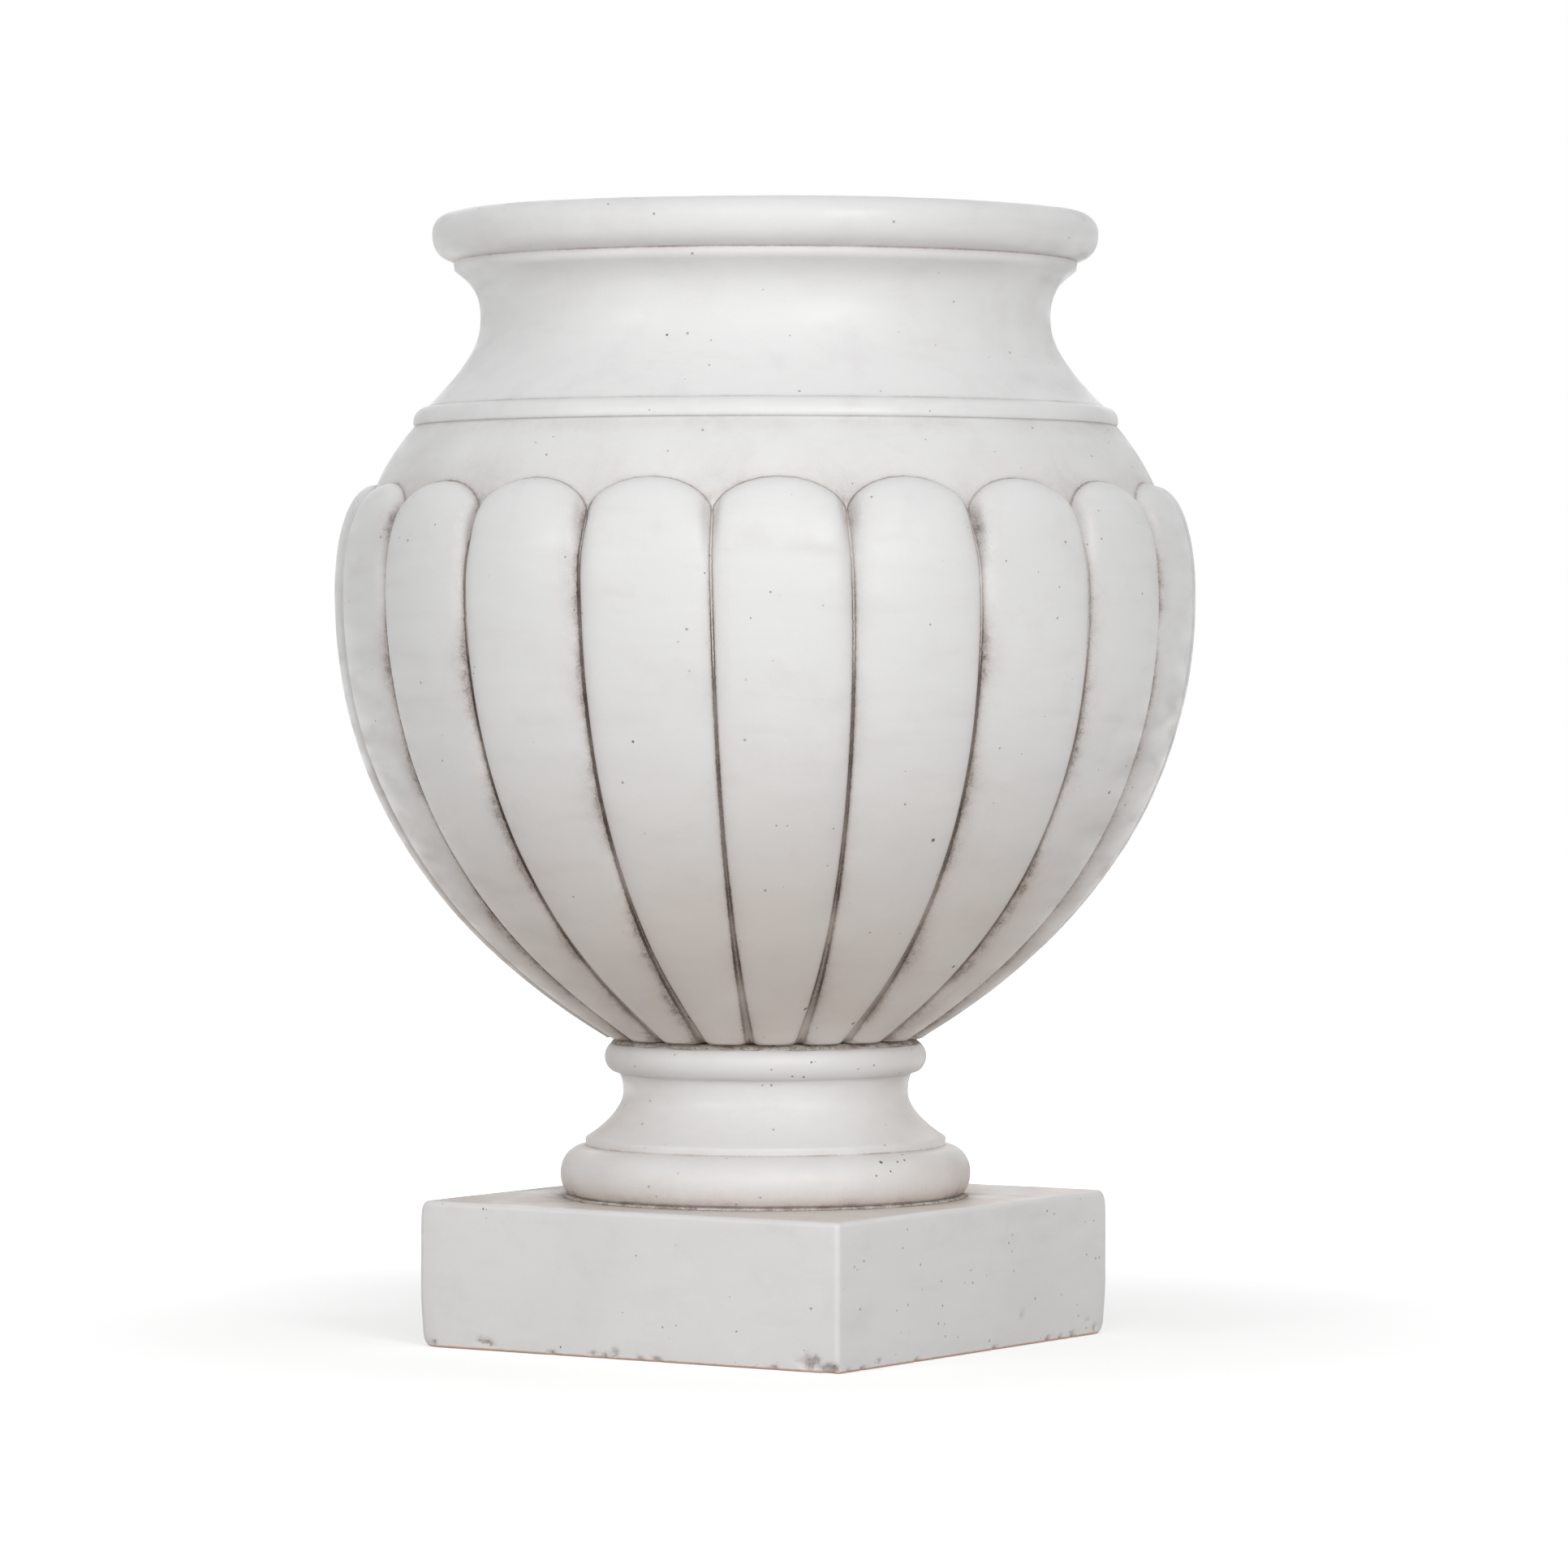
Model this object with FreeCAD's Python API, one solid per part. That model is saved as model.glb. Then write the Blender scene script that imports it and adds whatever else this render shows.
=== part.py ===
import FreeCAD, Part
import math
import os

# Footed urn planter on a square plinth, in cast stone.
# Millimetres. +Z is up, the origin is the middle of the plinth's underside, and
# the plinth's sides face along X and Y. A gadroon's crest faces +X.

Vec = FreeCAD.Vector
ORIGIN = Vec(0, 0, 0)
UP = Vec(0, 0, 1)

# ---- Plinth ----
plinth_side = 305.0
plinth_height = 88.0
plinth_corner_round = 4.0
plinth_top_round = 3.0
plinth_bottom_round = 1.2
pocket_radius = 33.0          # blind pocket under the plinth, for the nuts
pocket_depth = 36.0

# ---- Mortar beds between the castings ----
bed_thickness = 1.5
bed_setback = 3.0             # how far a bed stays inside the narrower casting
bed_bore_clearance = 4.0

# ---- Socle: the turned foot, heights counted one on top of the other ----
torus_radius = 125.0
torus_seat_radius = 121.0
torus_seat_height = 13.0      # underside to the widest line
torus_top_height = 16.9       # widest line to the crease above
fillet_radius = 109.9
fillet_height = 5.1
scotia_radius = 86.9
scotia_height = 27.0
collar_neck_radius = 89.3
collar_neck_height = 12.1
collar_radius = 98.2
collar_top_radius = 88.7
collar_height = 19.9

# ---- Bowl: radii, and heights above its own underside ----
seat_radius = 97.0            # where the gadroons start, over the collar
belly_radius = 262.5
belly_height = 269.0
gadroon_count = 20
gadroon_top_height = 334.8
arch_rise = 20.0              # rounded top of each gadroon
groove_depth = 4.8
groove_run_out = 12.0         # length over which a groove fades in at the seat
shoulder_curve = 142.0        # radius of the plain shoulder's profile
shoulder_centre_height = 277.9
bead_foot_radius = 213.9
bead_foot_height = 371.8
bead_step = 0.6               # level step where the bead overhangs the shoulder
bead_radius = 214.8
bead_height = 374.5
bead_top_radius = 206.3
bead_top_height = 383.5
neck_radius = 173.8
neck_height = 439.5
rim_fillet_radius = 189.5
rim_fillet_height = 466.5
rim_crease_radius = 190.5
rim_crease_height = 472.0
rim_radius = 203.0
rim_widest_height = 489.2
rim_top_radius = 191.2
rim_height = 501.0
wall = 20.0
floor_thickness = 33.0
floor_radius = 80.0
lip_round = 12.0              # inner edge of the rim

# ---- Drain fitting, which also ties the three castings together ----
tube_outer_radius = 16.5
tube_inner_radius = 13.5
tube_clearance = 1.5          # bores through the castings, around the tube
flange_radius = 30.0
flange_thickness = 3.5
gasket_thickness = 2.5
recess_clearance = 1.0        # recess in the bowl's floor, around the flange
seal_washer_thickness = 3.0
washer_radius = 30.0
washer_thickness = 3.0
thread_clearance = 0.05
nut_across_flats = 46.0
nut_thickness = 12.0
jam_nut_thickness = 7.0
tube_tail = 3.0               # thread that shows below the lower nut

# ---- Dowels that stop the castings from turning ----
dowel_radius = 5.0
dowel_clearance = 0.25
dowel_embedment = 25.0        # depth in each casting
dowel_end_gap = 2.0
dowel_count = 2
bowl_dowel_circle = 58.0
socle_dowel_circle = 85.0

# ---- Rubber plug ----
plug_clearance = 0.3
plug_length = 20.0
plug_taper = 1.2
plug_head_radius = 19.0
plug_head_thickness = 4.0
plug_knob_radius = 7.0
plug_stem_radius = 4.0
plug_stem_height = 7.0
plug_knob_height = 8.0

# ---- Levels that follow from the sizes ----
socle_bottom = plinth_height + bed_thickness
torus_widest = socle_bottom + torus_seat_height
fillet_bottom = torus_widest + torus_top_height
fillet_top = fillet_bottom + fillet_height
scotia_waist = fillet_top + scotia_height
collar_bottom = scotia_waist + collar_neck_height
socle_top = collar_bottom + collar_height
bowl_bottom = socle_top + bed_thickness
belly_level = bowl_bottom + belly_height
floor_level = bowl_bottom + floor_thickness
rim_level = bowl_bottom + rim_height
bore_radius = tube_outer_radius + tube_clearance
recess_depth = flange_thickness + gasket_thickness
inner_belly_radius = belly_radius - groove_depth - wall
inner_neck_radius = neck_radius - wall
shoulder_centre_radius = bead_foot_radius - math.sqrt(
    shoulder_curve ** 2 - (bead_foot_height - shoulder_centre_height) ** 2)

# Handles of the profile curves, as shares of each curve's own width and height.
ROUND = 0.5523                # quarter of an ellipse
belly_low_handles = ((0.790, 0.293), (1.0, 0.676))
belly_top_handle = 0.62
cavity_low_handles = ((0.728, 0.093), (1.0, 0.686))
cavity_top_handles = ((0.0, 0.60), (1.0, 0.71))
neck_low_handles = ((0.975, 0.564), (1.0, 0.787))
neck_top_handles = ((0.0, 0.624), (0.665, 0.839))
scotia_handles = ((0.435, 0.219), (1.0, 0.648))

# Spacing of the points that a gadroon's surface passes through.
GROOVE_TURN = math.radians(80.0)    # a gadroon's section is an ellipse out to this turn
ACROSS_STEPS = 8
LOW_STEPS = 11
LOW_CROWDING = 1.7            # draws the points together near the seat
TOP_STEPS = 6
SHOULDER_STEPS = 3
SEW_TOLERANCE = 0.001


class Outline:
    """A profile in the XZ plane, drawn edge by edge, as (radius, height)."""

    def __init__(self, radius, height):
        self.point = Vec(radius, 0, height)
        self.edges = []

    def line(self, radius, height):
        end = Vec(radius, 0, height)
        self.edges.append(Part.makeLine(self.point, end))
        self.point = end
        return self

    def arc(self, middle, radius, height):
        end = Vec(radius, 0, height)
        through = Vec(middle[0], 0, middle[1])
        self.edges.append(Part.Arc(self.point, through, end).toShape())
        self.point = end
        return self

    def bend(self, handles, radius, height):
        """Cubic curve; each handle is a share of the way across and of the way up."""
        start = self.point
        end = Vec(radius, 0, height)
        poles = [start]
        for share_r, share_z in handles:
            poles.append(Vec(start.x + share_r * (end.x - start.x), 0,
                             start.z + share_z * (end.z - start.z)))
        poles.append(end)
        curve = Part.BezierCurve()
        curve.setPoles(poles)
        self.edges.append(curve.toShape())
        self.point = end
        return self

    def wire(self):
        return Part.Wire(self.edges)

    def solid(self):
        """Closes the profile and turns it into a solid of revolution."""
        closed = self.edges + [Part.makeLine(self.point, self.edges[0].Vertexes[0].Point)]
        return Part.Face(Part.Wire(closed)).revolve(ORIGIN, UP, 360)


def quarter_out(handle=ROUND):
    """Handles of a curve that leaves upright and arrives level."""
    return ((0.0, handle), (1.0 - handle, 1.0))


def quarter_in(handle=ROUND):
    """Handles of a curve that leaves level and arrives upright."""
    return ((handle, 0.0), (1.0, 1.0 - handle))


def ring(inner, outer, bottom, top):
    body = Part.makeCylinder(outer, top - bottom, Vec(0, 0, bottom))
    return body.cut(Part.makeCylinder(inner, top - bottom, Vec(0, 0, bottom)))


def bezier(points, t):
    """Point (radius, height) at t on a cubic curve."""
    a, b, c, d = points
    s = 1.0 - t
    weights = (s ** 3, 3 * s * s * t, 3 * s * t * t, t ** 3)
    return tuple(sum(w * p[i] for w, p in zip(weights, (a, b, c, d))) for i in (0, 1))


def on_axis_turn(radius, height, angle):
    return Vec(radius * math.cos(angle), radius * math.sin(angle), height)


# ---- Bowl ----

def shoulder_radius_at(height):
    """Radius of the plain shoulder at a height above the bowl's underside."""
    rise = height - shoulder_centre_height
    return shoulder_centre_radius + math.sqrt(shoulder_curve ** 2 - rise ** 2)


def belly_low_curve():
    """Crest line of a gadroon, from the seat up to the belly."""
    (r1, z1), (r2, z2) = belly_low_handles
    width = belly_radius - seat_radius
    return ((seat_radius, 0.0), (seat_radius + r1 * width, z1 * belly_height),
            (seat_radius + r2 * width, z2 * belly_height), (belly_radius, belly_height))


def low_point(t, hollow):
    """Point on the lower belly, sunk by the hollow's share of the groove depth."""
    curve = belly_low_curve()
    radius, height = bezier(curve, t)
    step = 1e-4
    before = bezier(curve, max(t - step, 0.0))
    after = bezier(curve, min(t + step, 1.0))
    along_r = after[0] - before[0]
    along_z = after[1] - before[1]
    length = math.hypot(along_r, along_z)
    from_seat = math.hypot(radius - seat_radius, height)
    fade = math.sin(0.5 * math.pi * min(from_seat / groove_run_out, 1.0))
    sink = groove_depth * hollow * fade
    return radius - sink * along_z / length, height + sink * along_r / length


def top_point(t, hollow, arch_height):
    """Point on the upper belly, which rolls in to meet the plain shoulder."""
    start_r = belly_radius - groove_depth * hollow
    end_r = shoulder_radius_at(arch_height)
    rise = arch_height - belly_height
    curve = ((start_r, belly_height), (start_r, belly_height + belly_top_handle * rise),
             (end_r + belly_top_handle * (start_r - end_r), arch_height),
             (end_r, arch_height))
    return bezier(curve, t)


def curve_through(points, parameters):
    curve = Part.BSplineCurve()
    curve.interpolate(Points=points, Parameters=parameters)
    return curve


def surface_through(rows, across, along):
    """Smooth surface through rows[i][k], which lies at parameters across[i], along[k]."""
    lengthwise = [curve_through(row, along) for row in rows]
    pole_rows = [curve.getPoles() for curve in lengthwise]
    crosswise = [curve_through(list(column), across) for column in zip(*pole_rows)]
    poles = [list(row) for row in zip(*[curve.getPoles() for curve in crosswise])]
    surface = Part.BSplineSurface()
    surface.buildFromPolesMultsKnots(
        poles, crosswise[0].getMultiplicities(), lengthwise[0].getMultiplicities(),
        crosswise[0].getKnots(), lengthwise[0].getKnots(), False, False,
        crosswise[0].Degree, lengthwise[0].Degree)
    return surface.toShape()


def travelled(points):
    """Distance covered at each of a row of points."""
    total = [0.0]
    for before, after in zip(points, points[1:]):
        total.append(total[-1] + before.distanceToPoint(after))
    return total


def gadroon_faces():
    """One gadroon and the piece of shoulder above it, as two surfaces."""
    half_angle = math.pi / gadroon_count
    turns = [GROOVE_TURN * (2.0 * i / ACROSS_STEPS - 1.0) for i in range(ACROSS_STEPS + 1)]
    lobe = []
    shoulder = []
    for turn in turns:
        angle = half_angle * math.sin(turn) / math.sin(GROOVE_TURN)
        hollow = (1.0 - math.cos(turn)) / (1.0 - math.cos(GROOVE_TURN))
        arch_height = gadroon_top_height - arch_rise * hollow
        column = [low_point((k / LOW_STEPS) ** LOW_CROWDING, hollow) for k in range(LOW_STEPS)]
        column += [top_point(k / TOP_STEPS, hollow, arch_height) for k in range(TOP_STEPS + 1)]
        lobe.append([on_axis_turn(r, bowl_bottom + z, angle) for r, z in column])
        plain = []
        for k in range(SHOULDER_STEPS + 1):
            height = arch_height + (bead_foot_height - arch_height) * k / SHOULDER_STEPS
            plain.append(on_axis_turn(shoulder_radius_at(height), bowl_bottom + height, angle))
        shoulder.append(plain)
    along_crest = travelled(lobe[ACROSS_STEPS // 2])
    up_shoulder = travelled(shoulder[ACROSS_STEPS // 2])
    return [surface_through(lobe, turns, along_crest), surface_through(shoulder, turns, up_shoulder)]


def turned_profile():
    """What is turned on the bowl, from under the bead over the rim to the drain hole's foot."""
    profile = Outline(bead_foot_radius + bead_step, bowl_bottom + bead_foot_height)
    profile.line(bead_radius, bowl_bottom + bead_height)
    profile.bend(quarter_out(), bead_top_radius, bowl_bottom + bead_top_height)
    profile.bend(neck_low_handles, neck_radius, bowl_bottom + neck_height)
    profile.bend(neck_top_handles, rim_fillet_radius, bowl_bottom + rim_fillet_height)
    profile.line(rim_crease_radius, bowl_bottom + rim_crease_height)
    profile.bend(((1.0 - ROUND + 0.25, 0.12), (1.0, 1.0 - ROUND)),
                 rim_radius, bowl_bottom + rim_widest_height)
    profile.bend(quarter_out(), rim_top_radius, rim_level)
    profile.line(inner_neck_radius + lip_round, rim_level)
    profile.bend(quarter_in(), inner_neck_radius, rim_level - lip_round)
    neck_level = bowl_bottom + bead_top_height + 0.5 * (neck_height - bead_top_height)
    profile.line(inner_neck_radius, neck_level)
    (r1, z1), (r2, z2) = cavity_top_handles
    profile.bend(((1.0 - r2, 1.0 - z2), (1.0 - r1, 1.0 - z1)), inner_belly_radius, belly_level)
    (r1, z1), (r2, z2) = cavity_low_handles
    profile.bend(((1.0 - r2, 1.0 - z2), (1.0 - r1, 1.0 - z1)), floor_radius, floor_level)
    profile.line(flange_radius + recess_clearance, floor_level)
    profile.line(flange_radius + recess_clearance, floor_level - recess_depth)
    profile.line(bore_radius, floor_level - recess_depth)
    profile.line(bore_radius, bowl_bottom)
    return profile


def all_round(shape):
    """Copies of a shape at every gadroon."""
    copies = []
    for k in range(gadroon_count):
        copy = shape.copy()
        copy.rotate(ORIGIN, UP, 360.0 * k / gadroon_count)
        copies.append(copy)
    return copies


def flat_ring(edge, circle_radius):
    """Level face between a ring made of copies of an edge and a circle at its height."""
    ring_wire = Part.Wire(Part.sortEdges(all_round(edge))[0])
    circle = Part.Circle(Vec(0, 0, edge.BoundBox.ZMin), UP, circle_radius)
    return Part.makeFace([ring_wire, Part.Wire(circle.toShape())], "Part::FaceMakerBullseye")


def make_bowl():
    lobe, shoulder = gadroon_faces()
    seat_edge = min(lobe.Edges, key=lambda e: e.BoundBox.ZMax)
    bead_edge = max(shoulder.Edges, key=lambda e: e.BoundBox.ZMin)
    faces = all_round(lobe) + all_round(shoulder)
    faces.append(flat_ring(seat_edge, bore_radius))
    faces.append(flat_ring(bead_edge, bead_foot_radius + bead_step))
    faces += turned_profile().wire().revolve(ORIGIN, UP, 360).Faces
    skin = Part.makeCompound(faces)
    skin.sewShape(SEW_TOLERANCE)
    body = Part.Solid(skin.Shells[0])
    if body.Volume < 0:
        body.reverse()
    return body.cut(dowels(bowl_dowel_circle, bowl_bottom, dowel_clearance))


# ---- Socle ----

def make_socle():
    profile = Outline(bore_radius, socle_bottom)
    profile.line(torus_seat_radius, socle_bottom)
    profile.bend(((0.45, 0.15), (1.0, 1.0 - ROUND)), torus_radius, torus_widest)
    profile.bend(quarter_out(), fillet_radius, fillet_bottom)
    profile.line(fillet_radius, fillet_top)
    profile.bend(scotia_handles, scotia_radius, scotia_waist)
    profile.bend(((0.0, ROUND), (0.5, 0.85)), collar_neck_radius, collar_bottom)
    profile.bend(quarter_in(), collar_radius, collar_bottom + 0.5 * collar_height)
    profile.bend(quarter_out(), collar_top_radius, socle_top)
    profile.line(bore_radius, socle_top)
    body = profile.solid()
    body = body.cut(dowels(bowl_dowel_circle, bowl_bottom, dowel_clearance))
    return body.cut(dowels(socle_dowel_circle, socle_bottom, dowel_clearance))


# ---- Plinth ----

def make_plinth():
    half = 0.5 * plinth_side
    block = Part.makeBox(plinth_side, plinth_side, plinth_height, Vec(-half, -half, 0))
    upright = [e for e in block.Edges if abs(e.Vertexes[0].Z - e.Vertexes[1].Z) > 1.0]
    block = block.makeFillet(plinth_corner_round, upright)
    top = [e for e in block.Edges if e.BoundBox.ZMin > plinth_height - 0.01]
    block = block.makeFillet(plinth_top_round, top)
    bottom = [e for e in block.Edges if e.BoundBox.ZMax < 0.01]
    block = block.makeFillet(plinth_bottom_round, bottom)
    block = block.cut(Part.makeCylinder(bore_radius, plinth_height))
    block = block.cut(Part.makeCylinder(pocket_radius, pocket_depth))
    return block.cut(dowels(socle_dowel_circle, socle_bottom, dowel_clearance))


# ---- Mortar beds and dowels ----

def make_bed(bottom, outer, circle, joint_top):
    bed = ring(bore_radius + bed_bore_clearance, outer - bed_setback, bottom, bottom + bed_thickness)
    return bed.cut(dowels(circle, joint_top, dowel_clearance))


def dowels(circle, joint_top, clearance=0.0):
    """Dowels across a mortar joint, or with a clearance the holes that hold them."""
    joint_bottom = joint_top - bed_thickness
    low = joint_bottom - dowel_embedment
    high = joint_top + dowel_embedment
    if clearance > 0.0:
        high += dowel_end_gap
    pins = []
    for k in range(dowel_count):
        place = on_axis_turn(circle, low, math.pi * 2.0 * k / dowel_count)
        pins.append(Part.makeCylinder(dowel_radius + clearance, high - low, place))
    return Part.makeCompound(pins)


# ---- Drain fitting ----

def make_tube():
    flange_bottom = floor_level - flange_thickness
    tail = nut_levels()[3] - tube_tail
    stem = Part.makeCylinder(tube_outer_radius, flange_bottom - tail, Vec(0, 0, tail))
    flange = Part.makeCylinder(flange_radius, flange_thickness, Vec(0, 0, flange_bottom))
    bore = Part.makeCylinder(tube_inner_radius, floor_level - tail, Vec(0, 0, tail))
    return stem.fuse(flange).cut(bore).removeSplitter()


def nut_levels():
    """Undersides of the seal washer, washer, nut and jam nut in the pocket."""
    levels = []
    level = pocket_depth
    for thickness in (seal_washer_thickness, washer_thickness, nut_thickness, jam_nut_thickness):
        level -= thickness
        levels.append(level)
    return levels


def make_nut(bottom, thickness):
    corner = nut_across_flats / math.sqrt(3.0)
    points = [on_axis_turn(corner, bottom, math.radians(60 * k)) for k in range(7)]
    prism = Part.Face(Part.makePolygon(points)).extrude(Vec(0, 0, thickness))
    hole = Part.makeCylinder(tube_outer_radius + thread_clearance, thickness, Vec(0, 0, bottom))
    chamfer = Outline(0.0, bottom)
    half = 0.5 * nut_across_flats
    slope = (corner - half) * 0.6
    chamfer.line(half, bottom).line(corner, bottom + slope)
    chamfer.line(corner, bottom + thickness - slope).line(half, bottom + thickness)
    chamfer.line(0.0, bottom + thickness)
    return prism.common(chamfer.solid()).cut(hole)


def make_plug():
    throat = tube_inner_radius - plug_clearance
    head_top = floor_level + plug_head_thickness
    stem_top = head_top + plug_stem_height
    profile = Outline(0.0, floor_level - plug_length)
    profile.line(throat - plug_taper, floor_level - plug_length)
    profile.line(throat, floor_level)
    profile.line(plug_head_radius, floor_level)
    profile.bend(quarter_out(), plug_head_radius - plug_head_thickness, head_top)
    profile.line(plug_stem_radius, head_top)
    profile.line(plug_stem_radius, stem_top)
    profile.arc((plug_knob_radius, stem_top + 0.5 * plug_knob_height),
                plug_stem_radius, stem_top + plug_knob_height)
    profile.line(0.0, stem_top + plug_knob_height)
    return profile.solid()


def build():
    seal_bottom, washer_bottom, nut_bottom, jam_bottom = nut_levels()
    gasket_bottom = floor_level - recess_depth
    hole = tube_outer_radius + thread_clearance
    return {
        "bowl": make_bowl(),
        "socle": make_socle(),
        "plinth": make_plinth(),
        "bowl_bedding_ring": make_bed(socle_top, collar_top_radius, bowl_dowel_circle, bowl_bottom),
        "socle_bedding_ring": make_bed(plinth_height, torus_seat_radius, socle_dowel_circle,
                                       socle_bottom),
        "bowl_dowels": dowels(bowl_dowel_circle, bowl_bottom),
        "socle_dowels": dowels(socle_dowel_circle, socle_bottom),
        "drain_tie_tube": make_tube(),
        "flange_gasket": ring(hole, flange_radius, gasket_bottom, gasket_bottom + gasket_thickness),
        "plinth_seal_washer": ring(hole, washer_radius, seal_bottom, pocket_depth),
        "plinth_washer": ring(hole, washer_radius, washer_bottom, seal_bottom),
        "tie_nut": make_nut(nut_bottom, nut_thickness),
        "jam_nut": make_nut(jam_bottom, jam_nut_thickness),
        "drain_plug": make_plug(),
    }


os.makedirs("parts", exist_ok=True)
for name, shape in build().items():
    shape.exportStep("parts/" + name + ".step")
    box = shape.BoundBox
    print("%-20s valid %s solids %d volume %.0f z %.2f..%.2f" % (
        name, shape.isValid(), len(shape.Solids), shape.Volume, box.ZMin, box.ZMax))
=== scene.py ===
import math

import bpy
import numpy as np
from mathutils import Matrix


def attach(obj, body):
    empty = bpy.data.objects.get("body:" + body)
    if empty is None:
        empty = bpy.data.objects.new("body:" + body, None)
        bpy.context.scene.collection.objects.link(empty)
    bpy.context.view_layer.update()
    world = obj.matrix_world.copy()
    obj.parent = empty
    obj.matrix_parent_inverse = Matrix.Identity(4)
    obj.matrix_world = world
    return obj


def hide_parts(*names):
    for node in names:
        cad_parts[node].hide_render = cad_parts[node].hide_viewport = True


# Looks of a footed urn planter in antique-finished cast stone.
# Shapes are written in millimetres and become metres when a mesh is made.

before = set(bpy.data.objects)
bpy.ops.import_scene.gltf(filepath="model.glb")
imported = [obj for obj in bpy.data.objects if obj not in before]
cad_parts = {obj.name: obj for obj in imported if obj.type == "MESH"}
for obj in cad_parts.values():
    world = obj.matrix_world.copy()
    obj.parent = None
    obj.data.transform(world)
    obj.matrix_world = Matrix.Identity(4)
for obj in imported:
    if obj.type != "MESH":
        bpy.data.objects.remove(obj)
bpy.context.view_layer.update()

MM = 0.001
TAU = 2.0 * math.pi
ROUND = 0.5523                      # handle length that draws a cubic as a quarter circle

# ---- Sizes, as in the solid model. The bowl's own heights are counted from its seat. ----
PLINTH_HALF = 152.5
PLINTH_TOP = 88.0
POCKET_RADIUS = 33.0
POCKET_TOP = 36.0
BORE = 18.0
SOCLE_BOTTOM = 89.5
SOCLE_TOP = 183.5
BED_BORE = 22.0
BOWL_BOTTOM = 185.0
BOWL_HEIGHT = 501.0
BOWL_FLOOR = 33.0
RECESS_FLOOR = 27.0
BELLY = (262.5, 269.0)
SEAT_RADIUS = 97.0
LOBES = 20
HALF_LOBE = math.pi / LOBES
LOBE_TOP = 336.2
ARCH_RISE = 20.0
CREST_TURN = math.radians(80.0)     # how far a lobe's arch turns on its way to the groove
CROWN_DROP = 1.9                    # how far a lobe's crown falls towards its sides
GROOVE_DEPTH = 4.1
GROOVE_REACH = 10.5
SHOULDER_CURVE = 142.0
SHOULDER_LEVEL = 277.9
BEAD_FOOT = (213.9, 371.8)
SHOULDER_CENTRE = BEAD_FOOT[0] - math.sqrt(SHOULDER_CURVE ** 2 - (BEAD_FOOT[1] - SHOULDER_LEVEL) ** 2)

# ---- Sizes of what only this script adds ----
FOOT_ROUND = 1.3
TOP_ROUND = 3.4
CORNER_ROUNDS = (5.4, 4.6, 5.4, 3.6)  # from the corner between +X and +Y; the fourth is worn least
OUT_OF_SQUARE = 2.2
MORTAR_EDGE = 123.0                 # where the lower joint's mortar ends on the plinth
ARCH_RADIUS = 245.0                 # radius at which lengths round the arches are taken
FAR = 40.0                          # distance written where no groove or crease is near
VIEWER = math.radians(-56.3)        # direction the object is looked at from, counted from +X

# Numbers that each casting's mesh carries for the stone's material:
# line and channel are millimetres from the nearest crease and from the floor of the nearest
# groove or chip, the rest are shares of 0 to 1.
# The grime, foul and tan shares also carry painted shade, besides the stone's own dirt, wash and tone.
MASKS = ("line", "channel", "dark", "foul_and_shade", "warm", "grime_and_shade", "ridge", "tan_and_shade", "pocks", "raw")


# ---------------------------------------------------------------- helpers

def waves(points, length, seed):
    """Smooth seeded noise of about -1 to 1, with swells of about that length."""
    rng = np.random.default_rng(seed)
    count = 14
    total = np.zeros(points.shape[:-1])
    for _ in range(count):
        direction = rng.normal(size=3)
        direction /= np.linalg.norm(direction)
        pace = TAU / length * rng.uniform(0.55, 1.5)
        total += np.sin(points @ direction * pace + rng.uniform(0.0, TAU))
    return total / math.sqrt(2.0 * count)


def smooth(value, low, high):
    """0 below low, 1 above high, and an even S between. low may be above high."""
    share = np.clip((np.asarray(value, float) - low) / (high - low), 0.0, 1.0)
    return share * share * (3.0 - 2.0 * share)


def cubic(points, t):
    """Point on a cubic curve; each control point is a pair of numbers or arrays."""
    s = 1.0 - t
    weights = (s ** 3, 3 * s * s * t, 3 * s * t * t, t ** 3)
    return tuple(sum(w * p[i] for w, p in zip(weights, points)) for i in (0, 1))


class Profile:
    """Turned profile as rows of (radius, height), with how far each row is from named creases."""

    def __init__(self, radius, height):
        self.rows = [(radius, height)]
        self.marks = {}

    def line(self, radius, height, steps=1):
        start = self.rows[-1]
        for k in range(1, steps + 1):
            share = k / steps
            self.rows.append((start[0] + share * (radius - start[0]),
                              start[1] + share * (height - start[1])))
        return self

    def bend(self, handles, radius, height, steps, gather=1.0):
        """Cubic curve. A gather above 1 draws the rows to the start, below 1 to the end."""
        start = self.rows[-1]
        points = [start]
        for share_r, share_z in handles:
            points.append((start[0] + share_r * (radius - start[0]),
                           start[1] + share_z * (height - start[1])))
        points.append((radius, height))
        for k in range(1, steps + 1):
            self.rows.append(cubic(points, (k / steps) ** gather))
        return self

    def mark(self, name):
        self.marks[name] = len(self.rows) - 1
        return self

    def distance(self, name):
        """Distance of every row from the marked row, along the profile."""
        steps = np.hypot(*np.diff(np.array(self.rows), axis=0).T)
        run = np.concatenate([[0.0], np.cumsum(steps)])
        return np.abs(run - run[self.marks[name]])


def quarter_out():
    return ((0.0, ROUND), (1.0 - ROUND, 1.0))


def quarter_in():
    return ((ROUND, 0.0), (1.0, 1.0 - ROUND))


def around(radius, height, angle):
    return np.stack([radius * np.cos(angle), radius * np.sin(angle), height + 0.0 * angle], axis=-1)


def view_side(place):
    """-1 at the viewer's left edge of the object, 1 at the right, 0 in front and behind."""
    return np.sin(np.arctan2(place[..., 1], place[..., 0]) - VIEWER)


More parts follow.
